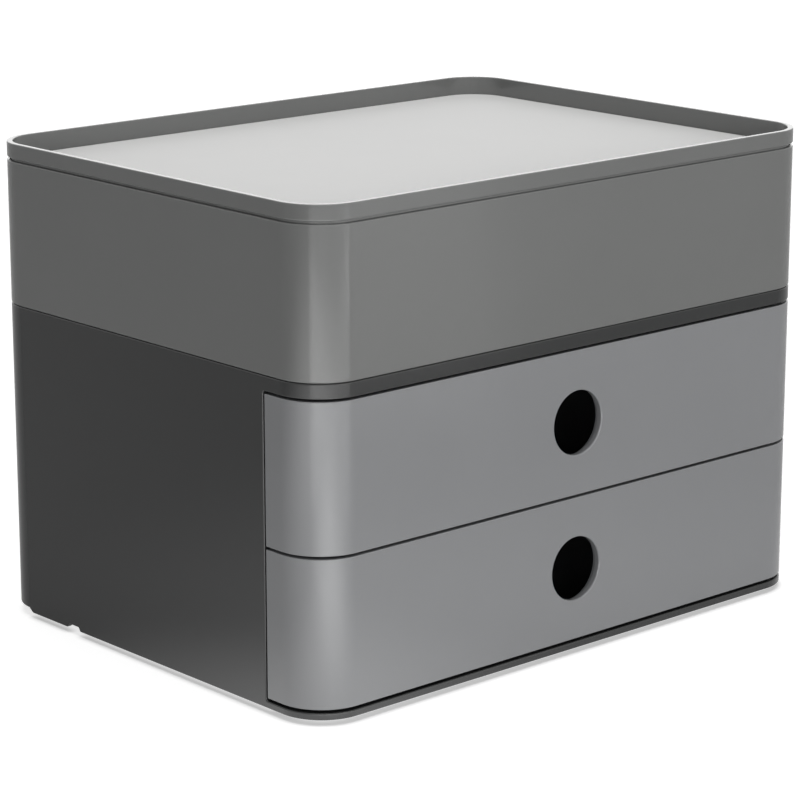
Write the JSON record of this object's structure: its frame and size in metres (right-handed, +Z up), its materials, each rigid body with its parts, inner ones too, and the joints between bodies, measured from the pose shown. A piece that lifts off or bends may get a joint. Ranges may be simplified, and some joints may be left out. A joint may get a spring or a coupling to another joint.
{
  "type": "desktop file drawer",
  "caption": "Desk organiser with closed drawers under a dark deck, a lidded utensil box on top, rounded corners and round finger holes.",
  "frame": {"origin": "centre of the bounding box's underside, on the surface that the feet stand on", "axes": "+X to the right seen from the drawer fronts, the drawers open towards -Y, +Z up"},
  "size_m": [0.26, 0.195, 0.19],
  "materials": {
    "anthracite_plastic": "glossy anthracite moulded plastic",
    "grey_plastic": "high-gloss mid-grey moulded plastic",
    "pale_inlay": "matt pale soft-touch mat",
    "foot_rubber": "matt black rubber"
  },
  "bodies": {
    "housing": {"housing_shell": "anthracite_plastic", "middle_shelf": "anthracite_plastic", "foot_front_left": "foot_rubber", "foot_front_right": "foot_rubber", "foot_rear_left": "foot_rubber", "foot_rear_right": "foot_rubber"},
    "lower_drawer": {"lower_drawer_tray": "grey_plastic", "lower_drawer_front": "grey_plastic"},
    "upper_drawer": {"upper_drawer_tray": "grey_plastic", "upper_drawer_front": "grey_plastic"},
    "box": {"utensil_box": "grey_plastic"},
    "lid": {"lid_tray": "grey_plastic", "lid_inlay": "pale_inlay"}
  },
  "joints": [
    {"name": "lower_drawer_slide", "type": "slide", "parent": "housing", "child": "lower_drawer", "axis": [0, -1, 0], "range_m": [0, 0.147]},
    {"name": "upper_drawer_slide", "type": "slide", "parent": "housing", "child": "upper_drawer", "axis": [0, -1, 0], "range_m": [0, 0.147]},
    {"name": "box_lift", "type": "slide", "parent": "housing", "child": "box", "axis": [0, 0, 1], "range_m": [0, 0.08]},
    {"name": "lid_lift", "type": "slide", "parent": "box", "child": "lid", "axis": [0, 0, 1], "range_m": [0, 0.08]}
  ]
}
